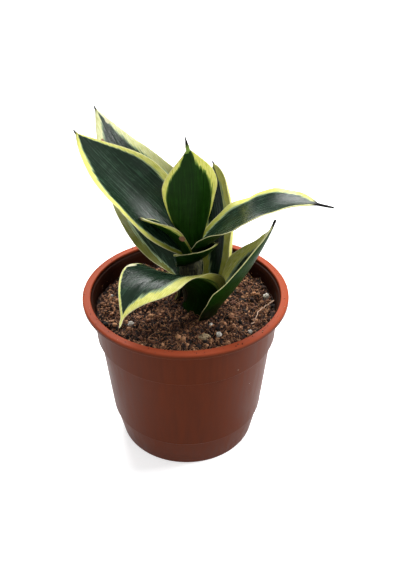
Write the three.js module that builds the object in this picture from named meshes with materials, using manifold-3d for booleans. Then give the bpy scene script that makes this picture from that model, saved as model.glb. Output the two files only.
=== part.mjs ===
// A dwarf gold-margined snake plant in a round plastic nursery pot.
// Millimetres, +Z up. The origin is the centre of the pot's flat base, so z = 0 is the surface it
// stands on, and -Y is the front of the plant.

import * as THREE from 'three';
import { mergeVertices } from 'three/addons/utils/BufferGeometryUtils.js';
import Module from 'manifold-3d';

const wasm = await Module();
wasm.setup();

// ---------------------------------------------------------------------------------------------
// Driving dimensions
// ---------------------------------------------------------------------------------------------

const GAP = 0.35;                      // clearance kept between two pieces that touch

const SLIVER = 0.1;                    // detail finer than this is dropped after a cut
const HAIR = 0.05;                     // how far the skin of a cut piece draws in

const POT_HEIGHT = 100;
const RIM_RADIUS = 60;
const RIM_INNER_RADIUS = 55.3;
const LIP_HEIGHT = 3.2;
const COLLAR_TOP_RADIUS = 54.3;        // outside of the wall, straight under the lip
const COLLAR_FOOT_RADIUS = 53.1;
const COLLAR_FOOT_Z = 73.5;
const BODY_TOP_RADIUS = 51.2;
const BODY_FOOT_RADIUS = 46.2;
const BODY_FOOT_Z = 20;
const FOOT_TOP_RADIUS = 45.4;
const BASE_RADIUS = 41.3;
const WALL = 1;
const FLOOR = 1.6;
const EDGE_ROUND = 1;
const POT_SEGMENTS = 44;

const HOLE_COUNT = 6;
const HOLE_RADIUS = 4.5;
const HOLE_CIRCLE_RADIUS = 27;

const SOIL_LEVEL = 88.6;
const SOIL_RELIEF = 1;
const SOIL_RINGS = 9;
const SOIL_SEGMENTS = 36;

const STEM_CENTRE = [3, 0];
const STEM_FOOT_Z = 80;
const STEM_OUTLINE = [[6.8, 0], [7.2, 8], [6.6, 20], [6.3, 34], [6.6, 40], [5.4, 44], [2.6, 45.6]];
const STEM_SEGMENTS = 20;

const BLADE_THICKNESS = [2.6, 1.5];    // along the middle of a leaf, at the base and near the tip
const MARGIN_THICKNESS = 0.7;
const LEAF_STATIONS = 18;
const LEAF_SPANS = 6;                  // facets across one face of the blade
const AWN_RADIUS = [0.6, 0.25];        // the hard point that ends a leaf, at its root and its end
const BURIED = 3;                      // how far a blade carries on below the start of its spine

// One entry for each leaf, from the heart of the plant outwards. spine is the four control points
// of a cubic curve up the middle of the blade. face is three control vectors of the direction that
// the upper side looks in, from base to tip. cup is the angle in degrees through which the
// cross-section bends, at base, middle and tip. base is the width at the base as a share of the
// widest, widest is how far up the leaf that is, and taper says how full the upper part stays.
const LEAVES = [
  {
    name: 'leaf_centre',
    spine: [[5, -3, 130], [2, -7, 151], [6, -10, 173], [2, -14, 196]],
    face: [[-0.08, 0.99, 0.11], [-0.25, 0.96, 0.08], [-0.24, 0.97, 0.1]],
    halfWidth: 16.1, base: 0.34, widest: 0.58, taper: 1.11, cup: [154, 89, 28], awn: 5,
  },
  {
    name: 'leaf_upper_right',
    spine: [[6, 0, 126], [22, -5, 142], [38, -12, 170], [69, -22, 168]],
    face: [[-0.47, 0.17, 0.86], [-0.14, -0.02, 1], [0.16, -0.19, 0.97]],
    halfWidth: 17.9, base: 0.32, widest: 0.46, taper: 0.85, cup: [170, 34, 62], awn: 6,
  },
  {
    name: 'young_leaf',
    spine: [[0, -3, 127], [-4, -2, 137], [-13, -3, 145], [-24, -4, 150]],
    face: [[0.31, 0.27, 0.91], [0.3, 0.25, 0.92], [0.32, 0.14, 0.93]],
    halfWidth: 7.2, base: 0.67, widest: 0.52, taper: 1.1, cup: [140, 126, 55], awn: 1,
  },
  {
    name: 'leaf_upper_left',
    spine: [[1, 1, 127], [-17, 5, 152], [-41, 12, 167], [-59, 21, 189]],
    face: [[0.53, -0.83, 0.16], [0.71, -0.42, 0.56], [0.46, -0.53, 0.71]],
    halfWidth: 22, base: 0.25, widest: 0.47, taper: 0.97, cup: [73, 102, 15], awn: 2,
  },
  {
    name: 'sheath_leaf',
    spine: [[-2, -6, 122], [7, -4, 123], [13, -6, 128], [18, -6, 136]],
    face: [[-0.49, 0.36, 0.79], [-0.54, 0.13, 0.83], [-0.48, 0.26, 0.84]],
    halfWidth: 10.8, base: 0.81, widest: 0.55, taper: 1.1, cup: [176, 151, 80], awn: 1,
  },
  {
    name: 'leaf_back_right',
    spine: [[14, 7, 86], [29, 15, 117], [23, 24, 154], [16, 35, 164]],
    face: [[-0.72, -0.66, 0.2], [-0.8, -0.57, 0.2], [-0.79, -0.53, 0.31]],
    halfWidth: 16, base: 0.45, widest: 0.55, taper: 0.91, cup: [141, 125, 61], awn: 2,
  },
  {
    name: 'leaf_back_left',
    spine: [[-1, 9, 88], [16, 25, 115], [-28, 40, 132], [-52, 55, 189]],
    face: [[0.36, -0.91, 0.18], [0.28, -0.91, 0.29], [0.6, -0.6, 0.53]],
    halfWidth: 25.3, base: 0.46, widest: 0.54, taper: 0.85, cup: [150, 34, 26], awn: 2.5,
  },
  {
    name: 'leaf_front',
    spine: [[5, -7, 88], [21, -10, 116], [-23, -22, 143], [-33, -50, 113]],
    face: [[0.36, 0.79, 0.49], [-0.01, 0.73, 0.56], [-0.05, -0.71, 0.79]],
    halfWidth: 20.2, base: 0.6, widest: 0.63, taper: 1.4, cup: [190, 16, 38], awn: 2,
  },
  {
    name: 'leaf_lower_right',
    spine: [[15, -7, 85], [18, -16, 104], [36, -24, 126], [46, -29, 162]],
    face: [[-0.57, 0.32, 0.76], [-0.84, -0.01, 0.55], [-0.87, 0.35, 0.35]],
    halfWidth: 18.9, base: 0.43, widest: 0.52, taper: 1.15, cup: [79, 118, 60], awn: 1,
  },
];

// Loose pieces on the soil: place on the pot's plan, and size.
const GRANULES = [
  { name: 'perlite_right', at: [48, 9], radius: 2 },
  { name: 'perlite_left', at: [-45, 9], radius: 1.5 },
  { name: 'perlite_front_left', at: [-31, -19], radius: 1.9 },
  { name: 'perlite_front', at: [19, -28], radius: 1.8 },
  { name: 'perlite_front_small', at: [14.5, -19], radius: 1.3 },
  { name: 'perlite_front_right', at: [36.5, -27], radius: 1.4 },
];
const BARK = { at: [10.5, -29.5], size: [4, 2.6, 1.7], turn: 0.25 };
const ROOT_RADIUS = 0.5;
const ROOT_ROUTE = [[52, 1, 3.4], [47, -3, 2.2], [42, -9.5, 2.6], [39.5, -18, 1.8], [37, -20.5, 2.4]];

// ---------------------------------------------------------------------------------------------
// Finishes
// ---------------------------------------------------------------------------------------------

const finish = (color, roughness) => new THREE.MeshStandardMaterial({ color, roughness, metalness: 0 });

const terracottaPlastic = finish(0x8a4632, 0.45);
const pottingSoil = finish(0x4a2f22, 0.95);
const corkyStem = finish(0x5c4a2c, 0.9);
const leafGreen = finish(0x2f4f3a, 0.4);
const perliteWhite = finish(0xe6e2da, 0.9);
const barkBrown = finish(0x7b6650, 0.9);
const rootTan = finish(0xb29a7c, 0.85);

// ---------------------------------------------------------------------------------------------
// Solids
// ---------------------------------------------------------------------------------------------

// A closed mesh as a solid that can be joined and cut.
function toSolid(geometry) {
  const bare = geometry.clone();
  bare.deleteAttribute('normal');
  bare.deleteAttribute('uv');
  const merged = mergeVertices(bare, 1e-4);
  return new wasm.Manifold(new wasm.Mesh({
    numProp: 3,
    vertProperties: new Float32Array(merged.attributes.position.array),
    triVerts: new Uint32Array(merged.index.array),
  }));
}

// A solid as geometry that three.js can draw. On a piece that was cut, every vertex moves in by a
// hair, so that two sheets which the cut left touching along an edge come apart.
function toGeometry(solid, hair) {
  const { vertProperties, triVerts } = solid.getMesh();
  const geometry = new THREE.BufferGeometry();
  geometry.setAttribute('position', new THREE.BufferAttribute(vertProperties, 3));
  geometry.setIndex(new THREE.BufferAttribute(triVerts, 1));
  geometry.computeVertexNormals();
  const { position, normal } = geometry.attributes;
  for (let i = 0; i < position.count; i += 1) {
    position.setXYZ(i, ...['X', 'Y', 'Z'].map(
      (axis) => position[`get${axis}`](i) - hair * normal[`get${axis}`](i)));
  }
  return geometry;
}

// The biggest of the bodies that a cut leaves, without its slivers.
function mainBody(solid) {
  return solid.simplify(SLIVER).decompose().reduce((a, b) => (b.volume() > a.volume() ? b : a));
}

// A closed skin over rings of equally many points, with a fan at each end.
function skin(rings) {
  const around = rings[0].length;
  const points = rings.flat();
  const faces = [];
  for (let i = 0; i + 1 < rings.length; i += 1) {
    for (let j = 0; j < around; j += 1) {
      const k = (j + 1) % around;
      const [a, b] = [i * around + j, i * around + k];
      faces.push(a, b, b + around, a, b + around, a + around);
    }
  }
  for (const [ring, flip] of [[0, true], [rings.length - 1, false]]) {
    const centre = new THREE.Vector3();
    rings[ring].forEach((point) => centre.addScaledVector(point, 1 / around));
    points.push(centre);
    for (let j = 0; j < around; j += 1) {
      const [a, b] = [ring * around + j, ring * around + ((j + 1) % around)];
      faces.push(...(flip ? [points.length - 1, b, a] : [points.length - 1, a, b]));
    }
  }
  const geometry = new THREE.BufferGeometry().setFromPoints(points);
  geometry.setIndex(faces);
  return geometry;
}

// A profile of [radius, height] pairs turned about a standing line through x, y.
function turned(profile, segments, [x, y] = [0, 0]) {
  const geometry = new THREE.LatheGeometry(profile.map(([r, z]) => new THREE.Vector2(r, z)), segments);
  return geometry.rotateX(Math.PI / 2).translate(x, y, 0);
}

const ramp = (values, t) => {
  const place = Math.min(Math.max(t, 0), 1) * (values.length - 1);
  const index = Math.min(Math.floor(place), values.length - 2);
  return THREE.MathUtils.lerp(values[index], values[index + 1], place - index);
};

// ---------------------------------------------------------------------------------------------
// Pot
// ---------------------------------------------------------------------------------------------

// The outside of the pot from the base's edge up to the lip, moved inwards by inset.
function wallProfile(inset) {
  return [
    [FOOT_TOP_RADIUS - inset, BODY_FOOT_Z],
    [BODY_FOOT_RADIUS - inset, BODY_FOOT_Z + EDGE_ROUND],
    [BODY_TOP_RADIUS - inset, COLLAR_FOOT_Z - EDGE_ROUND],
    [COLLAR_FOOT_RADIUS - inset, COLLAR_FOOT_Z],
  ];
}

function pot() {
  const lipFoot = POT_HEIGHT - LIP_HEIGHT;
  const shell = toSolid(turned([
    [0, 0],
    [BASE_RADIUS - EDGE_ROUND, 0],
    [BASE_RADIUS, EDGE_ROUND],
    ...wallProfile(0),
    [COLLAR_TOP_RADIUS, lipFoot],
    [RIM_RADIUS - EDGE_ROUND / 2, lipFoot],
    [RIM_RADIUS, lipFoot + EDGE_ROUND],
    [RIM_RADIUS, POT_HEIGHT - EDGE_ROUND],
    [RIM_RADIUS - EDGE_ROUND, POT_HEIGHT],
    [RIM_INNER_RADIUS, POT_HEIGHT],
    [COLLAR_TOP_RADIUS, POT_HEIGHT - EDGE_ROUND],
    [COLLAR_TOP_RADIUS - WALL, lipFoot],
    ...wallProfile(WALL).reverse(),
    [BASE_RADIUS - WALL, FLOOR],
    [0, FLOOR],
  ], POT_SEGMENTS));
  const holes = Array.from({ length: HOLE_COUNT }, (_, i) => {
    const angle = (i * 2 * Math.PI) / HOLE_COUNT;
    return toSolid(new THREE.CylinderGeometry(HOLE_RADIUS, HOLE_RADIUS, 4 * FLOOR, 16)
      .rotateX(Math.PI / 2)
      .translate(HOLE_CIRCLE_RADIUS * Math.cos(angle), HOLE_CIRCLE_RADIUS * Math.sin(angle), 0));
  });
  return holes.reduce((body, hole) => body.subtract(hole), shell);
}

// ---------------------------------------------------------------------------------------------
// Soil
// ---------------------------------------------------------------------------------------------

// Height of the soil's surface: level, with a gentle unevenness.
function soilHeight(x, y) {
  const waves = Math.sin(x / 9 + 1) * Math.cos(y / 7) + 0.6 * Math.sin((x - y) / 5 + 2);
  return SOIL_LEVEL + SOIL_RELIEF * waves;
}

// The block of soil fills the pot up to its surface, with a clearance to the wall and the floor.
function soilBlock() {
  const inset = WALL + GAP;
  const wall = wallProfile(inset);
  const edge = THREE.MathUtils.mapLinear(
    SOIL_LEVEL, COLLAR_FOOT_Z, POT_HEIGHT, COLLAR_FOOT_RADIUS, COLLAR_TOP_RADIUS) - inset - 0.2;
  const ring = (radius, height) => Array.from({ length: SOIL_SEGMENTS }, (_, j) => {
    const angle = (j * 2 * Math.PI) / SOIL_SEGMENTS;
    const [x, y] = [radius * Math.cos(angle), radius * Math.sin(angle)];
    return new THREE.Vector3(x, y, height ?? soilHeight(x, y));
  });
  const rings = [ring(1, FLOOR + GAP), ring(BASE_RADIUS - inset, FLOOR + GAP)];
  wall.forEach(([radius, height]) => rings.push(ring(radius, height)));
  for (let i = SOIL_RINGS; i >= 1; i -= 1) rings.push(ring((edge * i) / SOIL_RINGS));
  return toSolid(skin(rings));
}

// ---------------------------------------------------------------------------------------------
// Stem
// ---------------------------------------------------------------------------------------------

function stem(grow = 0) {
  const top = STEM_OUTLINE.at(-1);
  const outline = [
    [0, -grow],
    ...STEM_OUTLINE.map(([radius, height]) => [radius + grow, height]),
    [0, top[1] + 0.8 + grow],
  ];
  return toSolid(turned(outline.map(([r, z]) => [r, z + STEM_FOOT_Z]), STEM_SEGMENTS, STEM_CENTRE));
}

// ---------------------------------------------------------------------------------------------
// Leaves
// ---------------------------------------------------------------------------------------------

// Half the blade's width at t, from 0 at the base to 1 at the tip.
function halfWidth({ halfWidth: widestHalf, base, widest, taper }, t) {
  const share = t < widest
    ? base + (1 - base) * Math.sin((Math.PI / 2) * Math.max(t, 0) / widest)
    : Math.cos((Math.PI / 2) * Math.min((t - widest) / (1 - widest), 1)) ** taper;
  return widestHalf * share;
}

// The blade's middle line at t with its directions: along, the upper side's normal, and across.
function spineFrame(leaf, t) {
  const curve = new THREE.CubicBezierCurve3(...leaf.spine.map((p) => new THREE.Vector3(...p)));
  const held = Math.min(Math.max(t, 0), 1);
  const along = curve.getTangent(held);
  const weights = [(1 - held) ** 2, 2 * held * (1 - held), held ** 2];
  const normal = new THREE.Vector3();
  leaf.face.forEach((vector, i) => normal.addScaledVector(new THREE.Vector3(...vector), weights[i]));
  normal.addScaledVector(along, -normal.dot(along)).normalize();
  return { centre: curve.getPoint(held), along, normal, across: along.clone().cross(normal) };
}

// One closed ring of points round the blade: across its upper side, then back under it.
function leafRing({ centre, normal, across }, half, thickness, margin, cup, grow) {
  const radius = (2 * half) / cup;
  const side = (face) => Array.from({ length: LEAF_SPANS + 1 }, (_, j) => {
    const share = (2 * j) / LEAF_SPANS - 1;
    const angle = (share * cup * (half + grow)) / (2 * half);
    const depth = (margin + (thickness - margin) * (1 - share ** 2)) / 2 + grow;
    const reach = radius - face * depth;
    return centre.clone()
      .addScaledVector(across, reach * Math.sin(angle))
      .addScaledVector(normal, radius - reach * Math.cos(angle));
  });
  return [...side(1), ...side(-1).reverse()];
}

function leafSolid(leaf, grow = 0) {
  const ringAt = (t, shift) => {
    const frame = spineFrame(leaf, t);
    frame.centre.addScaledVector(frame.along, shift);
    const half = Math.max(halfWidth(leaf, t), AWN_RADIUS[0]);
    const thickness = Math.min(ramp(BLADE_THICKNESS, t), 2 * half);
    const margin = Math.min(MARGIN_THICKNESS, thickness);
    return leafRing(frame, half, thickness, margin, THREE.MathUtils.degToRad(ramp(leaf.cup, t)), grow);
  };
  const rings = [ringAt(0, -BURIED - grow)];
  for (let i = 0; i < LEAF_STATIONS; i += 1) rings.push(ringAt(i / LEAF_STATIONS, 0));
  const end = spineFrame(leaf, 1);
  for (const [shift, radius] of [[0, AWN_RADIUS[0]], [leaf.awn + grow, AWN_RADIUS[1]]]) {
    const frame = { ...end, centre: end.centre.clone().addScaledVector(end.along, shift) };
    rings.push(leafRing(frame, radius, 2 * radius, radius, 0.4, grow));
  }
  return toSolid(skin(rings));
}

// ---------------------------------------------------------------------------------------------
// Loose pieces on the soil
// ---------------------------------------------------------------------------------------------

// A rounded, slightly knobbly lump.
function lump([x, y], [sizeX, sizeY, sizeZ], turn, grow = 0) {
  const geometry = new THREE.IcosahedronGeometry(1, 1);
  geometry.scale(sizeX + grow, sizeY + grow, sizeZ + grow).rotateZ(turn);
  return toSolid(geometry.translate(x, y, soilHeight(x, y) + 0.35 * sizeZ));
}

// A dry root that lies in a curve over the soil.
function looseRoot(grow = 0) {
  const route = ROOT_ROUTE.map(([x, y, lift]) => new THREE.Vector3(x, y, SOIL_LEVEL + lift));
  const radius = ROOT_RADIUS + grow;
  const section = new THREE.Shape(Array.from({ length: 6 }, (_, i) => new THREE.Vector2(
    radius * Math.cos((i * Math.PI) / 3), radius * Math.sin((i * Math.PI) / 3))));
  return toSolid(new THREE.ExtrudeGeometry(section, {
    steps: 14, bevelEnabled: false, extrudePath: new THREE.CatmullRomCurve3(route),
  }));
}

// ---------------------------------------------------------------------------------------------
// Assembly
// ---------------------------------------------------------------------------------------------

const plant = new THREE.Group();

function place(name, solid, material, hair = 0) {
  const mesh = new THREE.Mesh(toGeometry(solid, hair), material);
  mesh.name = name;
  plant.add(mesh);
}

place('pot', pot(), terracottaPlastic);
place('stem', stem(), corkyStem);

// Each leaf gives way to the stem and to the leaves nearer the heart.
let heart = stem(GAP);
for (const leaf of LEAVES) {
  const blade = mainBody(leafSolid(leaf).subtract(heart));
  place(leaf.name, blade, leafGreen, HAIR);
  heart = heart.add(leafSolid(leaf, GAP)).add(blade);
}

let soil = soilBlock().subtract(heart);
const loosePieces = [
  ...GRANULES.map(({ name, at, radius }) => [
    name, (grow) => lump(at, [radius, radius, radius], 0, grow), perliteWhite]),
  ['bark_chip', (grow) => lump(BARK.at, BARK.size, BARK.turn, grow), barkBrown],
  ['loose_root', looseRoot, rootTan],
];
for (const [name, make, material] of loosePieces) {
  place(name, make(0), material);
  soil = soil.subtract(make(GAP));
}
place('potting_soil', mainBody(soil), pottingSoil, HAIR);

export default plant;
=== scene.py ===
"""A dwarf gold-margined snake plant in a round plastic nursery pot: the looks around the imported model.

Lengths in this file are millimetres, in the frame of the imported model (+Z up, the origin at the
centre of the pot's base), and each mesh is turned to metres as it is made.
"""

import logging
import math
from dataclasses import dataclass, replace, field
from enum import Enum

import bmesh
import bpy
import numpy as np
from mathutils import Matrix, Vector

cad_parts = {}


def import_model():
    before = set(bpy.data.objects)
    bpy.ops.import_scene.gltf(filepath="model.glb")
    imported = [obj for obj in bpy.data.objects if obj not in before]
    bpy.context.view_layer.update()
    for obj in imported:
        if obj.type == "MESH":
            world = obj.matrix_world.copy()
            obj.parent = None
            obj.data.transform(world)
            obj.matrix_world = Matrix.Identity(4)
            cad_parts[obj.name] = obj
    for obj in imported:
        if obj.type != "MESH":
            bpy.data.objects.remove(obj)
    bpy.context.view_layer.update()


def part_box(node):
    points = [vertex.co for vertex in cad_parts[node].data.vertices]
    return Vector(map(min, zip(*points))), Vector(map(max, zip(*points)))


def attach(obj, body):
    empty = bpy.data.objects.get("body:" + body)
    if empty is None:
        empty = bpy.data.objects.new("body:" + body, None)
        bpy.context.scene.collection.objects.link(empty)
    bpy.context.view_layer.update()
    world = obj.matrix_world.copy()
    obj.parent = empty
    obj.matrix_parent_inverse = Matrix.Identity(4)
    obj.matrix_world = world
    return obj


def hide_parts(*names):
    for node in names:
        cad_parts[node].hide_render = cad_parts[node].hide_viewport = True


log = logging.getLogger("snake_plant")

MM = 0.001
BODY = "root"


# ---------------------------------------------------------------------------------------------
# Shapes
# ---------------------------------------------------------------------------------------------


def unit(vectors: np.ndarray) -> np.ndarray:
    """Vectors along the last axis, scaled to length 1."""
    return vectors / np.linalg.norm(vectors, axis=-1, keepdims=True)


def smooth(low: float, high: float, value: np.ndarray) -> np.ndarray:
    """0 below low, 1 above high, and an S-curve between them."""
    share = np.clip((value - low) / (high - low), 0, 1)
    return share * share * (3 - 2 * share)


def ripple(points: np.ndarray, wavelength: float, seed: int, waves: int = 24) -> np.ndarray:
    """Smooth random bumps, as a sum of sine waves in random directions.

    Args:
        points: Places in millimetres, as an array of n by 3.
        wavelength: The usual distance between two bumps.
        seed: Picks the pattern.
        waves: How many sine waves are added.

    Returns:
        The height at each place, mostly between -2 and 2 with a mean of 0.
    """
    rng = np.random.default_rng(seed)
    directions = unit(rng.normal(size=(waves, 3)))
    pitch = 2 * math.pi / (wavelength * rng.uniform(0.6, 1.6, waves))
    phase = rng.uniform(0, 2 * math.pi, waves)
    return np.sin(points @ (directions * pitch[:, None]).T + phase).sum(1) * math.sqrt(2 / waves)


def ring_faces(rings: int, around: int, poles: bool = False) -> list[tuple[int, ...]]:
    """Quads between closed rings of equally many points, which are numbered ring by ring.

    Args:
        rings: How many rings.
        around: Points in a ring.
        poles: Whether two more points follow the rings, the first in the middle of the first ring
            and the second in that of the last, with a fan of triangles to each.

    Returns:
        The faces, as tuples of point numbers.
    """
    faces = []
    for i in range(rings - 1):
        for j in range(around):
            a, b = i * around + j, i * around + (j + 1) % around
            faces.append((a, b, b + around, a + around))
    if poles:
        last, first_pole = (rings - 1) * around, rings * around
        for j in range(around):
            k = (j + 1) % around
            faces += [(first_pole, k, j), (first_pole + 1, last + j, last + k)]
    return faces


def catmull_rom(points: list[tuple[float, ...]], steps: int) -> np.ndarray:
    """A smooth curve through points, with a number of steps from each point to the next."""
    p = np.array(points, float)
    p = np.vstack([2 * p[0] - p[1], p, 2 * p[-1] - p[-2]])
    t = np.linspace(0, 1, steps, endpoint=False)[:, None]
    parts = [
        0.5 * (2 * b + (c - a) * t + (2 * a - 5 * b + 4 * c - d) * t**2
               + (3 * b - a - 3 * c + d) * t**3)
        for a, b, c, d in zip(p[:-3], p[1:-2], p[2:-1], p[3:])
    ]
    return np.vstack([*parts, p[-2:-1]])


def fillet(corners: list[tuple[float, float, float]], steps: int = 5) -> np.ndarray:
    """A profile with its corners rounded.

    Args:
        corners: Radius, height and rounding of each corner.
        steps: Straight pieces in each rounded corner.

    Returns:
        The profile's points, as an array of n by 2.
    """
    out = [np.array(corners[0][:2])]
    for before, here, after in zip(corners, corners[1:], corners[2:]):
        a, b, c = (np.array(p[:2], float) for p in (before, here, after))
        into, away = unit(a - b), unit(c - b)
        half = 0.5 * math.acos(max(-1, min(1, float(into @ away))))
        if here[2] == 0 or abs(half - math.pi / 2) < 1e-3:
            out.append(b)
            continue
        reach = min(here[2] / math.tan(half), 0.48 * np.linalg.norm(a - b), 0.48 * np.linalg.norm(c - b))
        for k in range(steps + 1):
            t = k / steps
            out.append((1 - t) ** 2 * (b + into * reach) + 2 * t * (1 - t) * b + t**2 * (b + away * reach))
    out.append(np.array(corners[-1][:2]))
    return np.array(out)


@dataclass
class Shape:
    """Points in millimetres, faces, and values that the materials read at each point."""

    points: np.ndarray
    faces: list[tuple[int, ...]]
    values: dict[str, np.ndarray] = field(default_factory=dict)
    finish: np.ndarray | None = None

    def piece(self, name: str, materials: list[bpy.types.Material], slot: str,
              nodes: tuple[str, ...] = (), sharp: float = 0) -> bpy.types.Object:
        """Makes the Blender object, on the plant's one body.

        Args:
            name: The object's name.
            materials: Its materials, the first for every face that finish doesn't give another.
            slot: The material slot that it belongs to. Not used.
            nodes: The CAD nodes that it stands for.
            sharp: Edges that turn by more than this, in degrees, stay sharp; 0 shades all smooth.

        Returns:
            The new object.
        """
        mesh = bpy.data.meshes.new(name)
        mesh.from_pydata((self.points * MM).tolist(), [], self.faces)
        for key, value in self.values.items():
            vector = value.ndim == 2
            kind = "FLOAT_VECTOR" if vector else "FLOAT"
            attribute = mesh.attributes.new(key, kind, "POINT")
            attribute.data.foreach_set("vector" if vector else "value", value.astype(np.float32).ravel())
        mesh.update()
        shell = bmesh.new()
        shell.from_mesh(mesh)
        bmesh.ops.recalc_face_normals(shell, faces=shell.faces)
        shell.to_mesh(mesh)
        shell.free()
        mesh.shade_smooth()
        if sharp:
            mesh.set_sharp_from_angle(angle=math.radians(sharp))
        for material in materials:
            mesh.materials.append(material)
        if self.finish is not None:
            mesh.polygons.foreach_set("material_index", self.finish.astype(np.int32))
        made = bpy.data.objects.new(name, mesh)
        bpy.context.scene.collection.objects.link(made)
        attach(made, BODY)
        if nodes:
            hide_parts(*nodes)
        log.info("%s: %d faces", name, len(mesh.polygons))
        return made


def together(shapes: list[Shape]) -> Shape:
    """Several shapes as one. They all have the same values."""
    faces, shift = [], 0
    for shape in shapes:
        faces += [tuple(i + shift for i in face) for face in shape.faces]
        shift += len(shape.points)
    values = {key: np.concatenate([shape.values[key] for shape in shapes]) for key in shapes[0].values}
    return Shape(np.vstack([shape.points for shape in shapes]), faces, values)


def tube(route: np.ndarray, radii: np.ndarray, sides: int) -> Shape:
    """A closed round tube along a route.

    Args:
        route: Points along its middle, n by 3.
        radii: Its radius at each of them.
        sides: Flat sides round it.

    Returns:
        The tube, with the two ends closed.
    """
    along = unit(np.gradient(route, axis=0))
    helper = np.array([0.0, 0.0, 1.0]) if abs(along[:, 2]).max() < 0.95 else np.array([1.0, 0.2, 0.0])
    across = unit(np.cross(along, helper))
    up = np.cross(across, along)
    angle = np.linspace(0, 2 * math.pi, sides, endpoint=False)
    rings = route[:, None] + radii[:, None, None] * (
        np.cos(angle)[None, :, None] * across[:, None] + np.sin(angle)[None, :, None] * up[:, None])
    faces = ring_faces(len(route), sides)
    faces += [tuple(range(sides))[::-1], tuple(range((len(route) - 1) * sides, len(route) * sides))]
    return Shape(rings.reshape(-1, 3), faces)


def ball(detail: int) -> tuple[np.ndarray, list[tuple[int, ...]]]:
    """The points and faces of a ball of radius 1 in near-equal triangles."""
    shell = bmesh.new()
    bmesh.ops.create_icosphere(shell, subdivisions=detail, radius=1)
    points = np.array([v.co[:] for v in shell.verts])
    faces = [tuple(v.index for v in f.verts) for f in shell.faces]
    shell.free()
    return points, faces


def scattered(places: np.ndarray, sizes: np.ndarray, detail: int, rough: float, seed: int) -> Shape:
    """Many rough crumbs as one shape.

    Args:
        places: The middle of each crumb, n by 3.
        sizes: Half its length, width and height, n by 3.
        detail: How finely each crumb is divided.
        rough: How far its corners stray, as a share of its size.
        seed: Picks turns and corners.

    Returns:
        The crumbs, with a value called tone that is the same all over a crumb.
    """
    rng = np.random.default_rng(seed)
    points, faces = ball(detail)
    count = len(places)
    stray = 1 + rough * rng.normal(size=(count, len(points), 1))
    local = points[None] * stray * sizes[:, None]
    spin, tilt = rng.uniform(0, 2 * math.pi, count), rng.normal(0, 0.5, count)
    cs, sn, ct, st = np.cos(spin), np.sin(spin), np.cos(tilt), np.sin(tilt)
    zero, one = np.zeros(count), np.ones(count)
    turn = np.stack([cs, -sn, zero, sn, cs, zero, zero, zero, one], 1).reshape(-1, 3, 3)
    lean = np.stack([ct, zero, st, zero, one, zero, -st, zero, ct], 1).reshape(-1, 3, 3)
    world = np.einsum("nij,nkj->nki", turn @ lean, local) + places[:, None]
    shift = len(points)
    all_faces = [tuple(i + n * shift for i in face) for n in range(count) for face in faces]
    tone = np.repeat(rng.uniform(0, 1, count), shift)
    return Shape(world.reshape(-1, 3), all_faces, {"tone": tone})


# ---------------------------------------------------------------------------------------------
# Finishes
# ---------------------------------------------------------------------------------------------


def colour(code: str) -> tuple[float, float, float, float]:
    """An sRGB colour such as #8a4632 as linear red, green, blue and alpha."""
    parts = [int(code[i:i + 2], 16) / 255 for i in (1, 3, 5)]
    return (*(c / 12.92 if c <= 0.04045 else ((c + 0.055) / 1.055) ** 2.4 for c in parts), 1.0)


def feed(tree: bpy.types.NodeTree, node: bpy.types.Node, inputs: dict) -> None:
    """Connects or sets a node's inputs.

    Args:
        tree: The material's node tree.
        node: The node.
        inputs: For an input's name or number, a value, the socket that feeds it, or the node whose
            first output does.
    """
    for key, value in inputs.items():
        if isinstance(value, bpy.types.Node):
            value = value.outputs[0]
        if isinstance(value, bpy.types.NodeSocket):
            tree.links.new(value, node.inputs[key])
        else:
            node.inputs[key].default_value = colour(value) if isinstance(value, str) else value


def add(tree: bpy.types.NodeTree, kind: str, inputs: dict | None = None,
        stops: list[tuple[float, str]] | None = None, **settings: object) -> bpy.types.Node:
    """Adds a node to a material.

    Args:
        tree: The material's node tree.
        kind: The node's type, without ShaderNode in front.
        inputs: What feeds its inputs, as for feed.
        stops: For a colour ramp, the place and the colour of each stop.
        settings: The node's own settings.

    Returns:
        The node.
    """
    node = tree.nodes.new("ShaderNode" + kind)
    for name, value in settings.items():
        setattr(node, name, value)
    feed(tree, node, inputs or {})
    if stops:
        elements = node.color_ramp.elements
        while len(elements) < len(stops):
            elements.new(0.5)
        for element, (place, code) in zip(elements, stops):
            element.position, element.color = place, colour(code)
    return node


def blank(name: str) -> tuple[bpy.types.Material, bpy.types.NodeTree, bpy.types.Node]:
    """A new material with its node tree and its surface shader."""
    material = bpy.data.materials.new(name)
    material.use_nodes = True
    tree = material.node_tree
    return material, tree, tree.nodes["Principled BSDF"]


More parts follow.
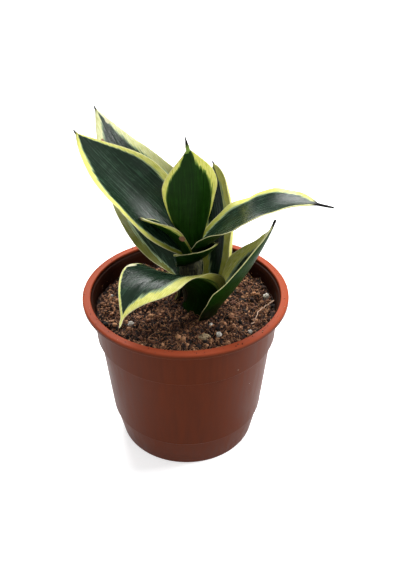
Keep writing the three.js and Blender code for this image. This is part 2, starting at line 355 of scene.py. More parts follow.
@dataclass(frozen=True)
class LeafSkin:
    """Snake plant leaf: grown, a waxy cuticle over stiff fibres that run from base to tip.

    The wax gives a soft gloss, the fibres give fine streaks along the leaf, and the margins have no
    green tissue, so they are yellow. Low on the leaf the margin carries painted shade, a dark olive
    shaded tone. The stretch of the leaf's length over which it turns from this painted shade to its
    full tone is given as two shares.
    """

    name: str
    green: tuple[str, str, str]
    margin: tuple[str, str, str]
    shaded_margin: str
    border: str
    gloss: float
    roughness: float
    shaded_stretch: tuple[float, float] = (0.1, 0.45)
    hairline: str = "#cdc79c"
    awn: str = "#100d0a"
    cork: str = "#9a6f55"
    crust: str = "#dcd7b4"
    ior: float = 1.45

    def make(self) -> bpy.types.Material:
        """Builds the material.

        Returns:
            The material. It reads lay (across, along), edge (distance from the margin, width of the
            yellow band, share of the length) and wear (awn, cork, crust).
        """
        material, tree, skin = blank(self.name)
        lay, edge, wear = (add(tree, "Attribute", attribute_name=name).outputs["Vector"]
                           for name in ("lay", "edge", "wear"))
        depth_in, band_width, share = add(tree, "SeparateXYZ", {0: edge}).outputs
        awn, corky, crusty = add(tree, "SeparateXYZ", {0: wear}).outputs
        # Fibre bundles lie about 0.8 mm apart and keep their tone for some 20 mm along the leaf, the
        # finest fibres 0.3 mm apart and 5 mm long. Cloudy patches are about 9 mm across, 5 mm along.
        fibres, fine, clouds = (
            add(tree, "TexNoise", {
                "Vector": add(tree, "VectorMath", {0: lay, 1: pitch}, operation="MULTIPLY"),
                "Scale": 1.0, "Detail": detail, "Roughness": rough})
            for pitch, detail, rough in (((1.25, 0.05, 1), 3.0, 0.6), ((3.2, 0.22, 1), 2.0, 0.5),
                                         ((0.11, 0.2, 1), 4.0, 0.5)))

        # The yellow ends along a streaky line, whose place wanders by a quarter of the band's width.
        wander = add(tree, "MapRange", {"Value": fibres, "From Min": 0.3, "From Max": 0.7,
                                        "To Min": 1.25, "To Max": 0.75})
        reach = add(tree, "Math", {0: band_width, 1: wander}, operation="MULTIPLY")
        depth = add(tree, "Math", {0: depth_in, 1: reach}, operation="SUBTRACT")
        green = add(tree, "MapRange", {"Value": depth, "From Min": -0.2, "From Max": 0.2},
                    interpolation_type="SMOOTHSTEP")
        feather = add(tree, "Math", {0: band_width, 1: 0.4}, operation="MULTIPLY")
        deep = add(tree, "MapRange", {"Value": depth, "From Min": 0.05, "From Max": feather},
                   interpolation_type="SMOOTHSTEP")

        soft = add(tree, "MapRange", {"Value": clouds, "To Min": 0.32, "To Max": 0.68})
        mottle = add(tree, "Math", {0: fibres, 1: soft}, operation="ADD")
        core = add(tree, "ValToRGB", {"Fac": add(tree, "MapRange", {
            "Value": mottle, "From Min": 0.75, "From Max": 1.35})},
            stops=list(zip((0.0, 0.5, 1.0), self.green)))
        core = add(tree, "Mix", {0: deep, 6: self.border, 7: core}, data_type="RGBA").outputs[2]
        band = add(tree, "ValToRGB", {"Fac": add(tree, "MapRange", {
            "Value": fine, "From Min": 0.25, "From Max": 0.7})},
            stops=list(zip((0.0, 0.45, 1.0), self.margin)))
        # Painted shade: low on the leaf, in the shade of the leaves above, the band is mixed towards a dark
        # olive.
        painted_shade = add(tree, "MapRange", {"Value": share, "From Min": self.shaded_stretch[0], "From Max": self.shaded_stretch[1],
                                       "To Min": 0.95, "To Max": 0.0})
        band = add(tree, "Mix", {0: painted_shade, 6: band, 7: self.shaded_margin}, data_type="RGBA").outputs[2]
        tone = add(tree, "Mix", {0: green, 6: band, 7: core}, data_type="RGBA").outputs[2]

        # A pale corky line a third of a millimetre wide runs round the very edge.
        rim = add(tree, "MapRange", {"Value": depth_in, "From Min": 0.2, "From Max": 0.45,
                                     "To Min": 0.75, "To Max": 0.0})
        tone = add(tree, "Mix", {0: rim, 6: tone, 7: self.hairline}, data_type="RGBA").outputs[2]
        scuffs = []
        for mark, low, high, shade in ((crusty, 0.18, 0.32, self.crust), (corky, 0.15, 0.3, self.cork)):
            wear_and_rim_light = add(tree, "Math", {0: mark, 1: fine}, operation="MULTIPLY")
            scuffs.append(add(tree, "MapRange", {"Value": wear_and_rim_light, "From Min": low, "From Max": high}))
            tone = add(tree, "Mix", {0: scuffs[-1], 6: tone, 7: shade}, data_type="RGBA").outputs[2]
        tone = add(tree, "Mix", {0: awn, 6: tone, 7: self.awn}, data_type="RGBA").outputs[2]

        # The wax is worn dull where the skin is corky or crusted.
        wear_and_rim_light = add(tree, "Math", dict(enumerate(scuffs)), operation="ADD", use_clamp=True)
        satin = add(tree, "MapRange", {"Value": mottle, "From Min": 0.7, "From Max": 1.3,
                                       "To Min": self.roughness - 0.07, "To Max": self.roughness + 0.1})
        matt = add(tree, "Mix", {0: wear_and_rim_light, 2: satin, 3: 0.8})
        relief = add(tree, "Bump", {"Height": fine, "Distance": 0.00012, "Strength": 0.5})
        relief = add(tree, "Bump", {"Height": fibres, "Distance": 0.0004, "Strength": 0.5, "Normal": relief})
        feed(tree, skin, {"Base Color": tone, "Roughness": matt, "Normal": relief, "IOR": self.ior,
                          "Specular IOR Level": self.gloss})
        return material


# The upper side is greyed by its wax, and takes a soft blue-white gloss from the light above.
UPPER_SKIN = LeafSkin(
    "leaf_upper_waxed_cuticle", ("#09190c", "#15291a", "#2f4e37"), ("#a5aa40", "#cfce62", "#e6e49c"),
    "#757a22", "#8fa37c", gloss=0.25, roughness=0.24)
# On an old leaf the margins have paled to a whitish green, and carry painted shade, a dull olive, for half
# its length, where the leaf above shades it.
OLD_SKIN = replace(
    UPPER_SKIN, name="leaf_old_waxed_cuticle", margin=("#a4ae68", "#d3d58f", "#ecebc6"),
    shaded_margin="#585b19", shaded_stretch=(0.64, 0.8))
# The under side has hardly any wax: a deep, clear green with little gloss.
UNDER_SKIN = LeafSkin(
    "leaf_under_bare_cuticle", ("#0b2202", "#122f04", "#1d430c"), ("#999d36", "#cbca58", "#e0de8e"),
    "#686a1a", "#6f8a3c", gloss=0.07, roughness=0.42)


@dataclass(frozen=True)
class PotPlastic:
    """Polypropylene: injection moulded against a satin mould, dyed terracotta brown.

    The satin mould leaves a soft, even sheen with faint upright drag marks, and handling leaves
    pale dust and fine scuffs. The broad top of the rim is painted paler, a painted highlight for the
    light that falls on it from above, and the inside is painted dark, a painted shade.
    """

    body: tuple[str, str] = ("#4e1f09", "#56230b")
    # Painted light: the paler tone painted on the rim's flat top, which the light from above falls on.
    wear_and_rim_light: str = "#a24a30"
    # Painted shade: the dark tone painted on the inside of the pot, where shade falls.
    dust: str = "#c9b3a4"
    inner_shade: str = "#22100a"
    rim_height: tuple[float, float] = (0.0985, 0.0998)
    roughness: float = 0.42
    gloss: float = 0.05
    ior: float = 1.49

    def make(self) -> bpy.types.Material:
        """Builds the material, from the place of each point in metres and the painted shade marked on it.

        Returns:
            The material.
        """
        material, tree, skin = blank("pot_moulded_polypropylene")
        place = add(tree, "TexCoord").outputs["Object"]
        # Drag marks: 3 mm apart round the pot, drawn out to some 40 mm up it.
        drags = add(tree, "TexNoise", {
            "Vector": add(tree, "VectorMath", {0: place, 1: (300, 300, 22)}, operation="MULTIPLY"),
            "Scale": 1.0, "Detail": 4.0, "Roughness": 0.65})
        tone = add(tree, "ValToRGB", {"Fac": add(tree, "MapRange", {
            "Value": drags, "From Min": 0.3, "From Max": 0.7})},
            stops=[(0.0, self.body[0]), (1.0, self.body[1])])
        # Dust specks of 0.3 to 0.6 mm, some 8 mm apart.
        specks = add(tree, "TexVoronoi", {"Vector": place, "Scale": 130.0, "Randomness": 1.0})
        patches = add(tree, "TexNoise", {"Vector": place, "Scale": 60.0, "Detail": 2.0})
        reach = add(tree, "MapRange", {"Value": patches, "From Min": 0.45, "From Max": 0.75,
                                       "To Min": 0.0, "To Max": 0.06})
        speck = add(tree, "Math", {0: specks, 1: reach}, operation="LESS_THAN")
        speck = add(tree, "Math", {0: speck, 1: 0.6}, operation="MULTIPLY")
        height = add(tree, "SeparateXYZ", {0: place}).outputs["Z"]
        # Painted highlight: the rim's flat top is painted paler, for the light that falls on it from above.
        painted_rim_light = add(tree, "MapRange", {"Value": height, "From Min": self.rim_height[0],
                                        "From Max": self.rim_height[1], "To Min": 0.0, "To Max": 0.75})
        # Painted shade: the faces inside the pot are painted dark.
        inner_shade = add(tree, "Attribute", attribute_name="inner_shade").outputs["Fac"]
        for cover, shade in ((speck, self.dust), (painted_rim_light, self.wear_and_rim_light), (inner_shade, self.inner_shade)):
            tone = add(tree, "Mix", {0: cover, 6: tone, 7: shade}, data_type="RGBA").outputs[2]
        satin = add(tree, "MapRange", {"Value": drags, "From Min": 0.3, "From Max": 0.7,
                                       "To Min": self.roughness - 0.05, "To Max": self.roughness + 0.08})
        # Satin grain of about 0.4 mm.
        grain = add(tree, "TexNoise", {"Vector": place, "Scale": 2500.0, "Detail": 2.0})
        relief = add(tree, "Bump", {"Height": grain, "Distance": 0.00003, "Strength": 0.4})
        relief = add(tree, "Bump", {"Height": drags, "Distance": 0.00005, "Strength": 0.2, "Normal": relief})
        feed(tree, skin, {"Base Color": tone, "Roughness": satin, "Normal": relief, "IOR": self.ior,
                          "Specular IOR Level": self.gloss})
        return material


@dataclass(frozen=True)
class EarthMix:
    """Coir and peat potting mix: shredded husk and moss, damp, so it is dark between the crumbs."""

    tones: tuple[str, str, str, str] = ("#0d0603", "#351d12", "#6c422c", "#b5845f")
    roughness: float = 0.93

    def make(self) -> bpy.types.Material:
        """Builds the material, which reads tone, a number from 0 to 1 for each crumb.

        Returns:
            The material.
        """
        material, tree, skin = blank("potting_mix_shredded_coir")
        place = add(tree, "TexCoord").outputs["Object"]
        tone = add(tree, "Attribute", attribute_name="tone").outputs["Fac"]
        # Grains of about half a millimetre within each crumb.
        grain = add(tree, "TexNoise", {"Vector": place, "Scale": 1500.0, "Detail": 3.0})
        mixed = add(tree, "Math", {0: tone, 1: grain}, operation="ADD")
        shade = add(tree, "ValToRGB", {"Fac": add(tree, "MapRange", {
            "Value": mixed, "From Min": 0.56, "From Max": 1.4})},
            stops=list(zip((0.0, 0.4, 0.75, 1.0), self.tones)))
        relief = add(tree, "Bump", {"Height": grain, "Distance": 0.0004, "Strength": 0.8})
        feed(tree, skin, {"Base Color": shade, "Roughness": self.roughness, "Normal": relief})
        return material


@dataclass(frozen=True)
class Dry:
    """A dry, matt natural material in mottled tones, such as perlite, bark, root or a corky stem.

    Perlite is heat-popped volcanic glass, chalky and pitted. Bark and root are air-dried, fibrous
    and dull. A stem's bark is dry cork over old fibres.
    """

    name: str
    tones: tuple[str, str, str]
    grain: tuple[float, float, float]
    depth: float
    roughness: float = 0.9

    def make(self) -> bpy.types.Material:
        """Builds the material: grain is the pattern's pitch in mm along x, y and z, depth its relief.

        Returns:
            The material.
        """
        material, tree, skin = blank(self.name)
        place = add(tree, "TexCoord").outputs["Object"]
        pitch = tuple(1 / (g * MM) for g in self.grain)
        place = add(tree, "VectorMath", {0: place, 1: pitch}, operation="MULTIPLY")
        mottle = add(tree, "TexNoise", {"Vector": place, "Scale": 1.0, "Detail": 4.0, "Roughness": 0.6})
        shade = add(tree, "ValToRGB", {"Fac": add(tree, "MapRange", {
            "Value": mottle, "From Min": 0.3, "From Max": 0.7})},
            stops=list(zip((0.0, 0.5, 1.0), self.tones)))
        relief = add(tree, "Bump", {"Height": mottle, "Distance": self.depth * MM, "Strength": 0.7})
        feed(tree, skin, {"Base Color": shade, "Roughness": self.roughness, "Normal": relief})
        return material


CORKY_STEM = Dry("stem_dry_cork", ("#12130a", "#2b2c17", "#5f5d3b"), (1.2, 1.2, 5.0), 0.4)
PERLITE = Dry("perlite_popped_glass", ("#8d877c", "#bab4a9", "#e2ded6"), (0.8, 0.8, 0.8), 0.25)
BARK = Dry("bark_air_dried", ("#6d5a45", "#9c8768", "#c9b893"), (1.6, 0.6, 0.6), 0.4)
DRY_ROOT = Dry("root_air_dried", ("#8f6c56", "#bd9a82", "#dcc2ab"), (1.0, 1.0, 1.0), 0.15)


# ---------------------------------------------------------------------------------------------
# Pot
# ---------------------------------------------------------------------------------------------


@dataclass
class Pot:
    """The round nursery pot: a stepped wall under a broad flat rim, and a base with drainage holes."""

    height: float = 100
    rim: float = 60
    rim_inner: float = 55.3
    lip: float = 3.2
    collar_top: float = 54.3
    collar_foot: float = 53.1
    collar_foot_z: float = 73.5
    body_top: float = 51.2
    body_foot: float = 46.2
    body_foot_z: float = 20
    foot_top: float = 45.4
    base: float = 41.3
    wall: float = 1.0
    floor: float = 1.6
    foot_ring: float = 38
    recess: float = 0.6
    holes: int = 6
    hole_radius: float = 4.5
    hole_circle: float = 27
    segments: int = 256

    def profile(self) -> np.ndarray:
        """The wall's outline, from the middle of the base round the rim to the middle of the floor."""
        lip_foot = self.height - self.lip
        wall = self.wall
        return fillet([
            (0, self.recess, 0),
            (self.foot_ring - 1, self.recess, 0.4),
            (self.foot_ring, 0, 0.4),
            (self.base, 0, 1.6),
            (self.foot_top, self.body_foot_z, 0.5),
            (self.body_foot, self.body_foot_z + 0.9, 0.6),
            (self.body_top, self.collar_foot_z - 1.1, 0.8),
            (self.collar_foot, self.collar_foot_z, 0.8),
            (self.collar_top, lip_foot, 0.7),
            (self.rim - 0.25, lip_foot, 0.7),
            (self.rim, self.height - 0.1, 1.3),
            (self.rim_inner, self.height, 0.8),
            (self.rim_inner - 0.3, self.height - 2.1, 0.5),
            (self.collar_top - 0.2, self.height - 2.5, 0.4),
            (self.collar_top - wall, lip_foot - 1.2, 0.5),
            (self.collar_foot - wall, self.collar_foot_z, 0.6),
            (self.body_top - wall, self.collar_foot_z - 1, 0.6),
            (self.body_foot - wall, self.body_foot_z + 1, 0.6),
            (self.foot_top - wall, self.body_foot_z, 0.6),
            (self.base - wall, self.floor, 0.6),
            (0, self.floor, 0),
        ])

    def build(self) -> bpy.types.Object:
        """Turns the wall about the middle and cuts the drainage holes.

        Returns:
            The pot.
        """
        outline = self.profile()
        angle = np.linspace(0, 2 * math.pi, self.segments, endpoint=False)
        radius, height = outline[1:-1, 0], outline[1:-1, 1]
        rings = np.stack([
            radius[:, None] * np.cos(angle), radius[:, None] * np.sin(angle),
            np.repeat(height[:, None], self.segments, 1)], -1)
        points = np.vstack([rings.reshape(-1, 3), [[0, 0, self.recess], [0, 0, self.floor]]])
        faces = ring_faces(len(radius), self.segments, poles=True)
        # Painted shade: every face inside the pot, down to the floor, is marked to be painted dark.
        inside = np.arange(len(radius)) > np.flatnonzero(radius > self.rim_inner - 0.2)[-1]
        inner_shade = np.append(np.repeat(0.9 * inside, self.segments), [0, 0.9])
        pot = Shape(points, faces, {"inner_shade": inner_shade}).piece(
            "pot_shell", [PotPlastic().make()], "pot_plastic", ("pot",), sharp=50)
        self.drill(pot)
        return pot

    def drill(self, pot: bpy.types.Object) -> None:
        """Cuts the drainage holes through the base."""
        for i in range(self.holes):
            turn = 2 * math.pi * i / self.holes
            drill = bmesh.new()
            bmesh.ops.create_cone(drill, cap_ends=True, segments=48, radius1=self.hole_radius * MM,
                                  radius2=self.hole_radius * MM, depth=4 * self.floor * MM)
            at = Vector((math.cos(turn), math.sin(turn), 0)) * self.hole_circle * MM
            bmesh.ops.translate(drill, verts=drill.verts, vec=at)
            mesh = bpy.data.meshes.new("drill")
            drill.to_mesh(mesh)
            drill.free()
            tool = bpy.data.objects.new("drill", mesh)
            bpy.context.scene.collection.objects.link(tool)
            cut = pot.modifiers.new("drain", "BOOLEAN")
            cut.operation, cut.solver, cut.object = "DIFFERENCE", "EXACT", tool
            bpy.context.view_layer.update()
            cut_pot = pot.evaluated_get(bpy.context.evaluated_depsgraph_get())
            drilled = bpy.data.meshes.new_from_object(cut_pot)
            pot.modifiers.remove(cut)
            old, pot.data = pot.data, drilled
            bpy.data.objects.remove(tool)
            bpy.data.meshes.remove(old)
            bpy.data.meshes.remove(mesh)


# ---------------------------------------------------------------------------------------------
# Soil and what lies on it
# ---------------------------------------------------------------------------------------------


@dataclass
class Soil:
    """The potting mix: a crumbly top, crumbs and coir fibres that lie on it, and a plain body."""

    level: float = 88.6
    relief: float = 1.0
    radius: float = 52.4
    wall_radius: float = 52.6
    foot_radius: float = 39.9
    foot: float = 1.95
    rings: int = 150
    around: int = 380
    crumbs: int = 2600
    specks: int = 5200
    fibres: int = 1500
    spilled: int = 150

    def height(self, x: np.ndarray, y: np.ndarray) -> np.ndarray:
        """The gentle unevenness of the surface, without its crumbs."""
        waves = np.sin(x / 9 + 1) * np.cos(y / 7) + 0.6 * np.sin((x - y) / 5 + 2)
        return self.level + self.relief * waves

    def surface(self, x: np.ndarray, y: np.ndarray) -> np.ndarray:
        """The height of the surface with clods of 9 and 4 mm and pits of 2 mm."""
        flat = np.stack([x, y, np.zeros_like(x)], 1)
        clods = 0.55 * ripple(flat, 9, 3) + 0.42 * ripple(flat, 4.2, 4, 32) + 0.3 * ripple(flat, 2.1, 5, 40)
        return self.height(x, y) + clods - 0.25

    def bed(self) -> Shape:
        """The closed body of the soil."""
        angle = np.linspace(0, 2 * math.pi, self.around, endpoint=False)
        share = np.linspace(1, 1 / self.rings, self.rings)
        side = [(self.foot_radius, self.foot), (43.8, 20), (49.9, 72.6), (51.7, 74)]
        rings = [np.stack([r * np.cos(angle), r * np.sin(angle), np.full_like(angle, z)], 1) for r, z in side]
        shore = 60 * np.stack([np.cos(angle), np.sin(angle), 0 * angle], 1)
        for part in share:
            edge = self.radius * part + (0.25 * ripple(shore, 6, 8) if part > 0.98 else 0)
            edge = np.minimum(edge, self.wall_radius)
            x, y = edge * np.cos(angle), edge * np.sin(angle)
            rings.append(np.stack([x, y, self.surface(x, y)], 1))
        points = np.vstack(rings)
        middle = float(self.surface(np.zeros(1), np.zeros(1))[0])
        points = np.vstack([points, [[0, 0, self.foot], [0, 0, middle]]])
        faces = ring_faces(len(rings), self.around, poles=True)
        return Shape(points, faces, {"tone": 0.28 + 0.22 * ripple(points, 3.2, 9, 40)})

    def places(self, count: int, seed: int, reach: float) -> np.ndarray:
        """Random places on the surface, evenly spread.

        Args:
            count: How many.
            seed: Picks the places.
            reach: The greatest distance from the middle.

        Returns:
            The places, n by 3.
        """
        rng = np.random.default_rng(seed)
        r, a = reach * np.sqrt(rng.uniform(0, 1, count)), rng.uniform(0, 2 * math.pi, count)
        x, y = r * np.cos(a), r * np.sin(a)
        return np.stack([x, y, self.surface(x, y)], 1)

    def crumb_layer(self) -> Shape:
        """Crumbs of 1 to 3 mm, and finer ones of half a millimetre to one."""
        rng = np.random.default_rng(21)
        size = rng.lognormal(-0.42, 0.38, (self.crumbs, 1)) * rng.uniform(0.65, 1.25, (self.crumbs, 3))
        size = np.minimum(size, 1.9)
        at = self.places(self.crumbs, 22, self.radius - 1.3)
        at[:, 2] += 0.25 * size[:, 2]
        coarse = scattered(at, size, 2, 0.1, 23)
        fine_size = rng.uniform(0.22, 0.6, (self.specks, 1)) * rng.uniform(0.7, 1.3, (self.specks, 3))
        at = self.places(self.specks, 24, self.radius - 0.6)
        at[:, 2] += 0.3 + 0.4 * rng.uniform(0, 1, self.specks)
        return together([coarse, scattered(at, fine_size, 1, 0.2, 25)])

    def fibre_layer(self) -> Shape:
        """Short bent coir fibres that lie on the crumbs."""
        rng = np.random.default_rng(31)
        start = self.places(self.fibres, 32, self.radius - 4)
        strands = []
        for n in range(self.fibres):
            length = rng.uniform(2.5, 9)
            turn, bend = rng.uniform(0, 2 * math.pi), rng.normal(0, 0.9)
            t = np.linspace(0, 1, 7)
            heading = turn + bend * t
            step = length / 6
            x = start[n, 0] + np.cumsum(np.cos(heading)) * step
            y = start[n, 1] + np.cumsum(np.sin(heading)) * step
            keep = np.minimum(1, (self.radius - 0.8) / np.maximum(np.hypot(x, y), 1e-6))
            x, y = x * keep, y * keep
            z = self.surface(x, y) + 0.5 + rng.uniform(0, 0.8) * np.sin(math.pi * t) + 0.3 * rng.uniform()
            radii = rng.uniform(0.09, 0.2) * (1 - 0.5 * t)
            strand = tube(np.stack([x, y, z], 1), radii, 4)
            strand.values["tone"] = np.full(len(strand.points), rng.uniform(0.25, 1.15))
            strands.append(strand)
        return together(strands)

    def spilled_crumbs(self, pot: Pot) -> Shape:
        """A little soil on the rim, and on the wall just above the surface."""
        rng = np.random.default_rng(41)
        on_rim = self.spilled // 2
        a = rng.uniform(0, 2 * math.pi, self.spilled)
        high = np.arange(self.spilled) < on_rim
        r = np.where(high, rng.uniform(pot.rim_inner + 0.6, pot.rim - 0.8, self.spilled),
                     rng.uniform(self.radius - 0.2, self.radius + 0.35, self.spilled))
        z = np.where(high, pot.height + 0.02, rng.uniform(88.5, 93.5, self.spilled))
        size = rng.uniform(0.12, 0.34, (self.spilled, 1)) * rng.uniform(0.7, 1.3, (self.spilled, 3))
        return scattered(np.stack([r * np.cos(a), r * np.sin(a), z], 1), size, 1, 0.2, 42)

    def build(self, pot: Pot) -> None:
        """Builds the soil's pieces."""
        mix = [EarthMix().make()]
        self.bed().piece("soil_bed", mix, "potting_soil", ("potting_soil",))
        self.crumb_layer().piece("soil_crumbs", mix, "potting_soil", sharp=40)
        self.fibre_layer().piece("coir_fibres", mix, "potting_soil")
        self.spilled_crumbs(pot).piece("spilled_soil", mix, "potting_soil", sharp=40)


@dataclass
class Lump:
    """A loose lump on the soil, where the CAD node of the same name lies."""

    node: str
    slot: str
    finish: Dry
    seed: int
    detail: int = 4
    knobs: float = 0.13
    pits: float = 0.05

    def build(self) -> bpy.types.Object:
        """Makes a knobbly, pitted stone that fills its CAD node's box."""
        low, high = (np.array(corner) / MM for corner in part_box(self.node))
        points, faces = ball(self.detail)
        swell = 1 + self.knobs * ripple(points, 0.9, self.seed)
        swell += self.pits * ripple(points, 0.28, self.seed + 1, 40)
        points = points * swell[:, None]
        points = (points - points.min(0)) / np.ptp(points, axis=0) * (high - low) + low
        return Shape(points, faces).piece(self.node + "_lump", [self.finish.make()], self.slot, (self.node,))


@dataclass
class LooseRoot:
    """A dry root that lies in a curve over the soil, with a side root."""

    level: float = 88.6
    route: tuple = ((52, 1, 3.4), (47, -3, 2.2), (42, -9.5, 2.6), (39.5, -18, 1.8), (37, -20.5, 2.4))
    side_routes: tuple = (((40.2, -15.5, 2.1), (38.2, -16.2, 2.2), (36.4, -15.2, 1.7)),)
    radius: float = 0.36

    def build(self) -> bpy.types.Object:
        """Makes the root and its side root."""
        shapes = []
        for route, radius in [(self.route, self.radius)] + [(r, 0.2) for r in self.side_routes]:
            line = catmull_rom(route, 12)
            line[:, 2] += self.level
            share = np.linspace(0, 1, len(line))
            thick = radius * (1 - 0.45 * share) * (1 + 0.12 * ripple(line, 2.2, 51))
            line = line + 0.12 * np.stack([ripple(line, 3, 52 + k) for k in range(3)], 1)
            shapes.append(tube(line, thick, 10))
        return together(shapes).piece("loose_root_strand", [DRY_ROOT.make()], "dry_root", ("loose_root",))


# ---------------------------------------------------------------------------------------------
# Plant
# ---------------------------------------------------------------------------------------------


@dataclass
class Stem:
    """The short corky stem, with the rings that fallen leaves left and shreds of old sheath."""

    centre: tuple[float, float] = (3, 0)
    foot: float = 80
    outline: tuple = ((4.4, 0), (4.4, 14), (5.2, 22), (6.4, 30), (6.7, 40), (5.4, 44), (2.6, 45.6))
    top: float = 46.3
    around: int = 96
    rise: int = 150
    ring_heights: tuple = (12, 19.5, 27, 33.5, 38.5)
    shreds: int = 22

    def radius(self, height: np.ndarray) -> np.ndarray:
        """The stem's radius at a height above its foot."""
        radii, heights = zip(*self.outline)
        return np.interp(height, heights, radii)

    def build(self) -> None:
        """Makes the stem, and the shreds that cling to it."""
        angle = np.linspace(0, 2 * math.pi, self.around, endpoint=False)
        height = np.linspace(0, self.outline[-1][1], self.rise)
        grid_h, grid_a = np.meshgrid(height, angle, indexing="ij")
        flat = np.stack([7 * np.cos(grid_a), 7 * np.sin(grid_a), 0.22 * grid_h], -1).reshape(-1, 3)
        fibres = ripple(flat, 1.7, 61, 40).reshape(grid_h.shape)
        rings = sum(np.exp(-((grid_h - h - 0.5 * np.sin(grid_a + h)) / 0.5) ** 2) for h in self.ring_heights)
        radius = self.radius(grid_h) - 0.35 + 0.11 * fibres + 0.3 * rings
        points = np.stack([self.centre[0] + radius * np.cos(grid_a), self.centre[1] + radius * np.sin(grid_a),
                           self.foot + grid_h], -1).reshape(-1, 3)
        faces = ring_faces(self.rise, self.around, poles=True)
        ends = [[*self.centre, self.foot], [*self.centre, self.foot + self.top]]
        cork = [CORKY_STEM.make()]
        Shape(np.vstack([points, ends]), faces).piece("stem_cork", cork, "stem", ("stem",))
        self.shred_layer().piece("stem_shreds", cork, "stem")

    def shred_layer(self) -> Shape:
        """Thin upright shreds of old sheath on the stem's side."""
        rng = np.random.default_rng(62)
        shapes = []
        for _ in range(self.shreds):
            turn, low, length = rng.uniform(0, 2 * math.pi), rng.uniform(10, 30), rng.uniform(4, 10)
            t = np.linspace(0, 1, 9)
            a = turn + rng.normal(0, 0.12) * t
            h = low + length * t
            r = self.radius(h) - 0.1 + 0.35 * t**2 * rng.uniform(0, 1.6)
            line = np.stack([self.centre[0] + r * np.cos(a), self.centre[1] + r * np.sin(a),
                             self.foot + h], 1)
            shapes.append(tube(line, rng.uniform(0.12, 0.28) * (1 - 0.6 * t), 5))
        return together(shapes)


class Scar(Enum):
    """What a mark on a leaf is."""

    CORK = 1
    CRUST = 2


@dataclass(frozen=True)
class Mark:
    """A mark on a leaf: its place as shares of length and half width, and its size in mm."""

    kind: Scar
    along: float
    across: float
    length: float
    width: float


